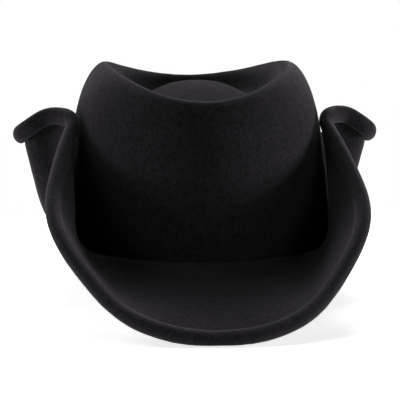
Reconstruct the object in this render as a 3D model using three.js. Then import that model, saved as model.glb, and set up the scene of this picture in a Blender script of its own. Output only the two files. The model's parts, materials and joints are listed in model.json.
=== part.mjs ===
// Black western hat of wool felt: a telescoped crown with two side peaks, sewn to a wide brim
// whose sides are rolled up against the crown and whose edge is turned under into a soft roll.
// Millimetres, +Z up, the wearer looks along -Y. The hat stands on the plane Z = 0.
import * as THREE from "three";
import { LoftGeometry } from "three/addons/geometries/LoftGeometry.js";

// Driving dimensions, in millimetres
const HEAD_LINE = 32.2; // height of the brim's inner margin above the surface that the hat rests on
const FELT = 2.6; // wall of the felt
const SEAM_GAP = 0.3; // between the crown's foot and the brim's margin under it
const SEAM_LEDGE = 0.5; // how far the margin shows outside the crown's foot
const ROLL_WIDTH = 12; // strip of the brim's edge that is turned under
const ROLL_DEPTH = 9.5; // thickness of that turned edge
const ROLL_PROUD = 1.2; // how far the roll swells above the brim's upper face

// Rings of the crown's outer face, from the foot over the rim to the middle of the tip.
// halfWidth is the reach to each side, front and back are the reaches along Y,
// and the heights at the sides, the front and the back are above the head line.
const RING_COLUMNS = ["halfWidth", "front", "back", "sideHeight", "frontHeight", "backHeight"];
const CROWN_RINGS = named(RING_COLUMNS, [
  [86, 103, 103, 0, 0, 0], // foot
  [85, 101, 101, 24, 22, 22], // low wall
  [82.5, 97, 98, 52, 46, 47], // mid wall
  [77.5, 91, 93, 82, 71, 74], // high wall
  [69.5, 84, 87, 104, 88, 92], // shoulder
  [58.5, 77, 80, 113, 94, 99], // rim
  [50.5, 70, 73, 102, 89, 93], // inner lip
  [42, 58, 60, 89, 86, 87], // trench
  [22, 30, 30, 97.5, 96.5, 96.5], // dome skirt
  [0, 0, 0, 101, 101, 101], // dome top
]);
const CROWN_COLUMNS = 64; // points around each ring
const OUTER_STEPS = 3; // rows of facets between two rings on the outer face
const INNER_STEPS = 2; // and on the inner face
const DOME_TOP = CROWN_RINGS.length - 1; // place of the last ring on the crown's section

// Stations of the brim's right half, from the front round to the back; the left half mirrors them.
// turn is where the section leaves the head oval, in degrees from the front. side, ahead and rise
// place the edge from the middle of the head line. heading (from the front) and lift (above the
// horizon) give the way the felt points at the edge, in degrees. dip is the slope in degrees where
// the section leaves the crown, and the pulls are the lengths of its two handles.
const BRIM_COLUMNS = ["turn", "side", "ahead", "rise", "heading", "lift", "dip", "footPull", "edgePull"];
const BRIM_STATIONS = named(BRIM_COLUMNS, [
  [0, 0, 192, -27.2, 0, -18, -14, 30, 30], // front
  [22, 44.5, 180, -19.6, 20, -10, -14, 30, 30], // front quarter
  [40, 71, 152, 1, 34, 18, -10, 26, 32], // front corner
  [54, 90.5, 118, 29, 42, 36, 46, 22, 38], // front cheek
  [66, 89.5, 78, 53, 52, 54, 82, 26, 42], // front wing
  [76, 80, 42, 74, 70, 84, 84, 26, 42], // waist front
  [84, 77.2, 23, 83.5, 78, 98, 84, 22, 36], // waist
  [91, 97.5, 6, 84.2, 90, 72, 70, 24, 36], // horn root
  [100, 111.6, -10, 72, 98, 74, 34, 20, 38], // horn tip
  [118, 97, -84, 65, 112, 68, 16, 20, 40], // back wing
  [138, 92, -132, 16, 134, 36, -6, 28, 34], // back corner
  [160, 54, -178, -18.6, 158, -4, -12, 30, 30], // back quarter
  [180, 0, -192, -27.2, 180, -18, -12, 30, 30], // back
]);
const STATION_STEPS = 4; // sections of facets between two stations
const UPPER_STEPS = 11; // points from the crown to the roll on the upper face
const UNDER_STEPS = 7; // and on the under face
const ROLL_STEPS = 11; // points round the roll
const ROLL_ARC = { from: 130, to: -205 }; // degrees round the roll, from its upper side into the groove
const ROLL_START = 10.8; // distance from the edge where the upper face runs into the roll
const GROOVE = 12.6; // distance from the edge where the under face leaves the groove behind the roll

const felt = new THREE.MeshStandardMaterial({ color: 0x1b1a1c, roughness: 0.95, metalness: 0 });

function named(columns, rows) {
  return rows.map((row) => Object.fromEntries(columns.map((column, i) => [column, row[i]])));
}

function along(start, end, share) {
  return start + (end - start) * share;
}

function rad(degrees) {
  return THREE.MathUtils.degToRad(degrees);
}

// A smooth curve through points that are one unit of s apart, with no break in curvature.
function smoothRail(points, closed) {
  const RELAXING_ROUNDS = 40;
  const count = points.length;
  const wrap = (i) => (closed ? (i + count) % count : THREE.MathUtils.clamp(i, 0, count - 1));
  const at = (i) => points[wrap(i)];
  const slopes = points.map((_, i) => at(i + 1).clone().sub(at(i - 1)).divideScalar(2));
  const slope = (i) => slopes[wrap(i)];
  for (let round = 0; round < RELAXING_ROUNDS; round++) {
    for (let i = 0; i < count; i++) {
      const chord = at(i + 1).clone().sub(at(i - 1)).multiplyScalar(3);
      const isEnd = !closed && (i === 0 || i === count - 1);
      const before = isEnd && i === 0 ? new THREE.Vector3() : slope(i - 1);
      const after = isEnd && i > 0 ? new THREE.Vector3() : slope(i + 1);
      slopes[i].copy(chord.sub(before).sub(after).divideScalar(isEnd ? 2 : 4));
    }
  }
  return (s) => {
    const last = closed ? count : count - 1;
    const i = Math.min(Math.floor(s), last - 1);
    const t = s - i;
    const point = new THREE.Vector3();
    point.addScaledVector(at(i), (1 + 2 * t) * (1 - t) ** 2);
    point.addScaledVector(slope(i), t * (1 - t) ** 2);
    point.addScaledVector(at(i + 1), t * t * (3 - 2 * t));
    return point.addScaledVector(slope(i + 1), t * t * (t - 1));
  };
}

// Unit normal of a surface(a, b), with a running anticlockwise round the hat seen from above.
function normalOf(surface, a, b, step) {
  const across = surface(a, b + step).sub(surface(a, b - step));
  const around = surface(a + step, b).sub(surface(a - step, b));
  return across.cross(around).normalize();
}

// Crown

// A point of one ring, at an angle from the front.
function ringPoint(row, angle) {
  const ahead = Math.cos(angle);
  const reach = ahead > 0 ? row.front : row.back;
  const endHeight = ahead > 0 ? row.frontHeight : row.backHeight;
  const height = along(row.sideHeight, endHeight, ahead * ahead);
  return new THREE.Vector3(row.halfWidth * Math.sin(angle), -reach * ahead, HEAD_LINE + height);
}

// The section of the crown from the foot at one angle to the far side of the tip.
function crownSection(angle) {
  const near = CROWN_RINGS.map((row) => ringPoint(row, angle));
  return smoothRail([...near, ringPoint(CROWN_RINGS[DOME_TOP - 1], angle + Math.PI)], false);
}

function crownOuter(angle, place) {
  return crownSection(angle)(place);
}

function crownInner(angle, place) {
  const STEP = 0.02;
  const inward = normalOf(crownOuter, angle, THREE.MathUtils.clamp(place, STEP, DOME_TOP - STEP), STEP);
  return crownOuter(angle, place).addScaledVector(inward, FELT);
}

function makeCrown() {
  const angles = Array.from({ length: CROWN_COLUMNS }, (_, i) => (i / CROWN_COLUMNS) * 2 * Math.PI);
  const ringsOf = (face, steps) => {
    const rows = Array.from({ length: steps * DOME_TOP + 1 }, (_, i) => i / steps);
    const rings = rows.map((place) => angles.map((angle) => face(angle, place)));
    rings[0].forEach((point) => point.setZ(HEAD_LINE + SEAM_GAP));
    const [dome] = rings.at(-1);
    rings.at(-1).forEach((point) => point.set(0, 0, dome.z));
    return rings;
  };
  const inner = ringsOf(crownInner, INNER_STEPS);
  const outer = ringsOf(crownOuter, OUTER_STEPS);
  return new LoftGeometry([...inner.reverse(), ...outer]);
}

// Brim

// A unit vector from its heading (from the front, towards the right) and its lift.
function direction(heading, lift) {
  const level = Math.cos(rad(lift));
  const forward = Math.cos(rad(heading));
  return new THREE.Vector3(Math.sin(rad(heading)) * level, -forward * level, Math.sin(rad(lift)));
}

// What one station gives the rails: the inner line of the margin, the foot, two handles, the edge.
function stationPoints(row, mirror) {
  const [headRow] = CROWN_RINGS;
  const turn = rad(row.turn);
  const oval = ringPoint(headRow, turn);
  const across = new THREE.Vector3(headRow.front * Math.sin(turn), -headRow.halfWidth * Math.cos(turn), 0);
  across.normalize();
  const leave = across.clone().multiplyScalar(Math.cos(rad(row.dip))).setZ(Math.sin(rad(row.dip)));
  const foot = oval.clone().addScaledVector(across, SEAM_LEDGE);
  const edge = new THREE.Vector3(row.side, -row.ahead, HEAD_LINE + row.rise);
  const points = [
    oval.addScaledVector(across, -FELT),
    foot,
    foot.clone().addScaledVector(leave, row.footPull),
    edge.clone().addScaledVector(direction(row.heading, row.lift), -row.edgePull),
    edge,
  ];
  points.forEach((point) => point.setX(mirror * point.x));
  return points;
}

const rightStations = BRIM_STATIONS.map((row) => stationPoints(row, 1));
const leftStations = BRIM_STATIONS.slice(1, -1).reverse().map((row) => stationPoints(row, -1));
const stations = [...rightStations, ...leftStations];
const [marginRail, ...sectionRails] = stations[0].map((_, rail) =>
  smoothRail(stations.map((points) => points[rail]), true),
);

// One section of the brim's upper face, from the foot to the edge.
function brimSection(s) {
  const wrapped = THREE.MathUtils.euclideanModulo(s, stations.length);
  return new THREE.CubicBezierCurve3(...sectionRails.map((rail) => rail(wrapped)));
}

function brimUpper(s, share) {
  return brimSection(s).getPoint(share);
}

// The closed outline of the brim's felt at one section: margin, upper face, roll, under face.
function brimOutline(s) {
  const STEP = 0.01;
  const section = brimSection(s);
  const length = section.getLength();
  const shareAt = (distance) => section.getUtoTmapping(0, distance);
  const normalAt = (share) => normalOf(brimUpper, s, THREE.MathUtils.clamp(share, STEP, 1 - STEP), STEP);
  const outline = [marginRail(s)];
  for (let i = 0; i < UPPER_STEPS; i++) {
    outline.push(section.getPoint(shareAt(along(0, length - ROLL_START, i / (UPPER_STEPS - 1)))));
  }
  const outward = section.getTangent(1);
  const upward = normalAt(1);
  const middle = section.getPoint(1);
  middle.addScaledVector(outward, -ROLL_WIDTH / 2);
  middle.addScaledVector(upward, ROLL_PROUD - ROLL_DEPTH / 2);
  for (let i = 0; i < ROLL_STEPS; i++) {
    const angle = rad(along(ROLL_ARC.from, ROLL_ARC.to, i / (ROLL_STEPS - 1)));
    const point = middle.clone().addScaledVector(outward, (ROLL_WIDTH / 2) * Math.cos(angle));
    outline.push(point.addScaledVector(upward, (ROLL_DEPTH / 2) * Math.sin(angle)));
  }
  for (let i = 0; i < UNDER_STEPS; i++) {
    const share = shareAt(along(length - GROOVE, 0, i / (UNDER_STEPS - 1)));
    outline.push(section.getPoint(share).addScaledVector(normalAt(share), -FELT));
  }
  const marginUnder = marginRail(s);
  outline.push(marginUnder.setZ(marginUnder.z - FELT));
  // The felt is pressed flat where it rests.
  outline.forEach((point) => point.setZ(Math.max(point.z, 0)));
  return outline;
}

function makeBrim() {
  const sections = [];
  for (let i = 0; i < stations.length * STATION_STEPS; i++) {
    sections.push(brimOutline(i / STATION_STEPS));
  }
  sections.push(sections[0]);
  return new LoftGeometry(sections);
}

function makePiece(name, geometry) {
  const piece = new THREE.Mesh(geometry, felt);
  piece.name = name;
  return piece;
}

const hat = new THREE.Group();
hat.add(makePiece("crown", makeCrown()), makePiece("brim", makeBrim()));

export default hat;
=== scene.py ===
import json
import math

import bpy
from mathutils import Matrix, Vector

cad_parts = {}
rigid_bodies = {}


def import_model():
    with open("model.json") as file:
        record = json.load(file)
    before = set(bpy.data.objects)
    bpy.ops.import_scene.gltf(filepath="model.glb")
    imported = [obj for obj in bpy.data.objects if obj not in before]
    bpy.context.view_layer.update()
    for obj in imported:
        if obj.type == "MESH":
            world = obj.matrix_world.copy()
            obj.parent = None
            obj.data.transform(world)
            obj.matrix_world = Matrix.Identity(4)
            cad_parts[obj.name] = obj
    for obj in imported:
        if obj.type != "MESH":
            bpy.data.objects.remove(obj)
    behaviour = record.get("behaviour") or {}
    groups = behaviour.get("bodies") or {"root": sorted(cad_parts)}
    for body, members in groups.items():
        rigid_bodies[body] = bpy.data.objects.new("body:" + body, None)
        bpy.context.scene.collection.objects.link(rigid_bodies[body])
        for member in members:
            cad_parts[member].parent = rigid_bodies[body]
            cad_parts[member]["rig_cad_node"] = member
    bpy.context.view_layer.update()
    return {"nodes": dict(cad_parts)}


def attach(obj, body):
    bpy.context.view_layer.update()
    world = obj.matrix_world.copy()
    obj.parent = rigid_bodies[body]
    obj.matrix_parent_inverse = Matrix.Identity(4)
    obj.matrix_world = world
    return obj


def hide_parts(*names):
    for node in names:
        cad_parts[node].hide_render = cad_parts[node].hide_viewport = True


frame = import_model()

# Crown
# One wall of black wool felt, steamed and pulled over a block until it holds two side peaks and a
# sunk tip with a low dome. It is open below, and its cut foot stands on the brim's margin.
MERGE_DISTANCE = 1e-5  # metres
CUT_EDGE = math.radians(80)  # edges sharper than this are cuts, and stay crisp
CUT_CRISPNESS = 0.85
SKIN_ROUNDS = 2  # subdivisions that round the facets off
HAND_WORK_DEPTH = 0.0005  # how deep the hand's pressing leaves hollows in the felt
HAND_WORK_WIDTH = 0.030  # how wide those hollows are
NAP_DEPTH = 0.00022  # relief of the brushed wool
NAP_WIDTH = 0.007
FOOT_SINK = 0.0012  # how far the crown's foot is pressed into the brim's margin
DARK_WOOL = (0.0148, 0.0133, 0.0152, 1)
LIGHT_WOOL = (0.0350, 0.0314, 0.0360, 1)
WOOL_SHEEN = (0.76, 0.70, 0.78, 1)


def dent(skin, label, depth, width):
    """Presses shallow hollows into a skin, never outwards, so that no gap closes."""
    cloud = bpy.data.textures.new(label, "CLOUDS")
    cloud.noise_scale = width
    cloud.noise_depth = 2
    press = skin.modifiers.new(label, "DISPLACE")
    press.texture = cloud
    press.texture_coords = "LOCAL"
    press.mid_level = 1.0
    press.strength = depth
    bpy.ops.object.modifier_apply(modifier=press.name)


def felt_skin(node_name, piece_name, foot_sink=0.0):
    """A node's facets as one continuous skin of felt, rounded and a little uneven.

    foot_sink presses its lowest edge down, into the piece that it stands on.
    """
    bpy.ops.object.select_all(action="DESELECT")
    node = frame["nodes"][node_name]
    node.select_set(True)
    bpy.context.view_layer.objects.active = node
    bpy.ops.object.duplicate()
    skin = bpy.context.view_layer.objects.active
    skin.name = piece_name
    skin.data.name = piece_name
    del skin["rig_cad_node"]
    bpy.ops.object.mode_set(mode="EDIT")
    bpy.ops.mesh.select_all(action="SELECT")
    bpy.ops.mesh.remove_doubles(threshold=MERGE_DISTANCE)
    bpy.ops.mesh.customdata_custom_splitnormals_clear()
    bpy.ops.mesh.tris_convert_to_quads(face_threshold=math.pi, shape_threshold=math.pi)
    bpy.ops.mesh.select_mode(type="EDGE")
    bpy.ops.mesh.select_all(action="DESELECT")
    bpy.ops.mesh.edges_select_sharp(sharpness=CUT_EDGE)
    bpy.ops.transform.edge_crease(value=CUT_CRISPNESS)
    bpy.ops.mesh.select_mode(type="VERT")
    bpy.ops.mesh.select_all(action="DESELECT")
    bpy.ops.object.mode_set(mode="OBJECT")
    if foot_sink:
        foot_height = min(point.co.z for point in skin.data.vertices) + MERGE_DISTANCE
        for point in skin.data.vertices:
            point.select = point.co.z < foot_height
        bpy.ops.object.mode_set(mode="EDIT")
        bpy.ops.transform.translate(value=(0, 0, -foot_sink))
        bpy.ops.object.mode_set(mode="OBJECT")
    bpy.ops.object.shade_smooth()
    rounding = skin.modifiers.new("rounding", "SUBSURF")
    rounding.levels = SKIN_ROUNDS
    rounding.render_levels = SKIN_ROUNDS
    # Rounding draws a skin in, so its points are first moved out by as much as they would lose.
    rounded = skin.evaluated_get(bpy.context.evaluated_depsgraph_get()).data
    losses = [point.co - rounded.vertices[point.index].co for point in skin.data.vertices]
    for point, loss in zip(skin.data.vertices, losses):
        point.co += loss
    bpy.ops.object.modifier_apply(modifier=rounding.name)
    dent(skin, piece_name + "_hand_work", HAND_WORK_DEPTH, HAND_WORK_WIDTH)
    dent(skin, piece_name + "_nap", NAP_DEPTH, NAP_WIDTH)
    return skin


def brushed_wool_felt(label):
    """Black felt: mottled dark wool, matted fibres in its relief, a dull sheen at its edges."""
    material = bpy.data.materials.new(label)
    material.use_nodes = True
    nodes = material.node_tree.nodes
    link = material.node_tree.links.new
    shader = nodes["Principled BSDF"]
    place = nodes.new("ShaderNodeTexCoord").outputs["Object"]

    def noise(scale, detail, distortion):
        """Cloudy noise on the piece's own place, in features per metre."""
        cloud = nodes.new("ShaderNodeTexNoise")
        cloud.inputs["Scale"].default_value = scale
        cloud.inputs["Detail"].default_value = detail
        cloud.inputs["Distortion"].default_value = distortion
        link(place, cloud.inputs["Vector"])
        return cloud.outputs["Fac"]

    def bump(height, strength, distance, under=None):
        """Relief of a height, on top of the relief that lies under it."""
        relief = nodes.new("ShaderNodeBump")
        relief.inputs["Strength"].default_value = strength
        relief.inputs["Distance"].default_value = distance
        link(height, relief.inputs["Height"])
        if under:
            link(under, relief.inputs["Normal"])
        return relief.outputs["Normal"]

    mottle = noise(scale=420, detail=4, distortion=0.6)
    fibres = noise(scale=1500, detail=3, distortion=1.4)
    dye = nodes.new("ShaderNodeValToRGB")
    dark, light = dye.color_ramp.elements
    dark.position = 0.3
    dark.color = DARK_WOOL
    light.position = 0.72
    light.color = LIGHT_WOOL
    link(mottle, dye.inputs["Fac"])
    link(dye.outputs["Color"], shader.inputs["Base Color"])
    matt = nodes.new("ShaderNodeMapRange")
    matt.inputs["To Min"].default_value = 0.86
    matt.inputs["To Max"].default_value = 1.0
    link(fibres, matt.inputs["Value"])
    link(matt.outputs["Result"], shader.inputs["Roughness"])
    matted = bump(mottle, strength=0.5, distance=0.0006)
    brushed = bump(fibres, strength=0.6, distance=0.0003, under=matted)
    link(brushed, shader.inputs["Normal"])
    shader.inputs["Specular IOR Level"].default_value = 0.12
    shader.inputs["Sheen Weight"].default_value = 0.25
    shader.inputs["Sheen Roughness"].default_value = 0.45
    shader.inputs["Sheen Tint"].default_value = WOOL_SHEEN
    return material


felt = brushed_wool_felt("brushed_wool_felt")

crown = felt_skin("crown", "felt_crown", FOOT_SINK)
crown.data.materials.clear()
crown.data.materials.append(felt)
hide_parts("crown")
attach(crown, "root")

# Brim
# A second wall of the same felt round the head oval. Its sides are steamed up against the crown and
# flare into two horns, and its edge is turned under into a thick soft roll with a groove behind it.
brim = felt_skin("brim", "felt_brim")
brim.data.materials.clear()
brim.data.materials.append(felt)
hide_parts("brim")
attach(brim, "root")

# Floor
# A plain pale sheet that the hat rests on, lit a little from below as on a light table.
FLOOR_SIZE = 0.65
FLOOR_DROP = 0.0003
FLOOR_GLOW = 0.75

bpy.ops.object.select_all(action="DESELECT")
bpy.ops.mesh.primitive_plane_add(size=FLOOR_SIZE, location=(0, 0, -FLOOR_DROP))
floor = bpy.context.active_object
floor.name = "floor"
paper = bpy.data.materials.new("pale_paper")
paper.use_nodes = True
sheet = paper.node_tree.nodes["Principled BSDF"]
sheet.inputs["Base Color"].default_value = (0.88, 0.88, 0.88, 1)
sheet.inputs["Roughness"].default_value = 0.9
sheet.inputs["Emission Color"].default_value = (1, 1, 1, 1)
sheet.inputs["Emission Strength"].default_value = FLOOR_GLOW
floor.data.materials.append(paper)

# Light
# A large soft light behind and above the hat with a weaker one beside it, a low one at each side,
# and two faint ones in front. All are far off, so the floor is lit evenly.
VIEW_GAMMA = 0.8  # deepens the blacks, as in the photo


def soft_light(label, azimuth, elevation, spread, strength):
    """A far, wide light. Azimuth is from the front, towards +X; a white sheet facing it shows strength."""
    turn = math.radians(azimuth)
    rise = math.radians(elevation)
    towards = Vector((math.sin(turn) * math.cos(rise), -math.cos(turn) * math.cos(rise), math.sin(rise)))
    lamp = bpy.data.lights.new(label, "SUN")
    lamp.angle = math.radians(spread)
    lamp.energy = math.pi * strength
    light = bpy.data.objects.new(label, lamp)
    bpy.context.scene.collection.objects.link(light)
    light.rotation_euler = (-towards).to_track_quat("-Z", "Y").to_euler()


soft_light("back_light", azimuth=180, elevation=50, spread=30, strength=0.85)
soft_light("back_left_light", azimuth=-126, elevation=35, spread=24, strength=0.24)
soft_light("left_light", azimuth=-90, elevation=2, spread=16, strength=0.54)
soft_light("front_left_light", azimuth=-50, elevation=12, spread=24, strength=0.10)
soft_light("right_light", azimuth=90, elevation=2, spread=16, strength=1.10)
soft_light("front_right_light", azimuth=45, elevation=20, spread=24, strength=0.14)

# The room is white behind the hat and gives it no light.
room = bpy.data.worlds.new("room")
bpy.context.scene.world = room
room.use_nodes = True
air = room.node_tree.nodes["Background"]
air.inputs["Color"].default_value = (1, 1, 1, 1)
ray = room.node_tree.nodes.new("ShaderNodeLightPath")
room.node_tree.links.new(ray.outputs["Is Camera Ray"], air.inputs["Strength"])
bpy.context.scene.view_settings.view_transform = "Standard"
bpy.context.scene.view_settings.gamma = VIEW_GAMMA

# Camera
# It stands in front of the hat, a little above its brim and slightly to the wearer's right.
CAMERA_AZIMUTH = math.radians(-4.2)
CAMERA_ELEVATION = math.radians(8)
CAMERA_DISTANCE = 1.2
AIM_HEIGHT = 0.0552
AIM_ASIDE = 0.00227
LENS = 166.5

across = Vector((math.cos(CAMERA_AZIMUTH), math.sin(CAMERA_AZIMUTH), 0))
level = math.cos(CAMERA_ELEVATION)
backward = Vector((
    math.sin(CAMERA_AZIMUTH) * level,
    -math.cos(CAMERA_AZIMUTH) * level,
    math.sin(CAMERA_ELEVATION),
))
camera_data = bpy.data.cameras.new("camera")
camera_data.lens = LENS
camera_data.sensor_width = 36
camera = bpy.data.objects.new("camera", camera_data)
bpy.context.scene.collection.objects.link(camera)
camera.location = Vector((0, 0, AIM_HEIGHT)) + across * AIM_ASIDE + backward * CAMERA_DISTANCE
camera.rotation_euler = (-backward).to_track_quat("-Z", "Y").to_euler()
bpy.context.scene.camera = camera
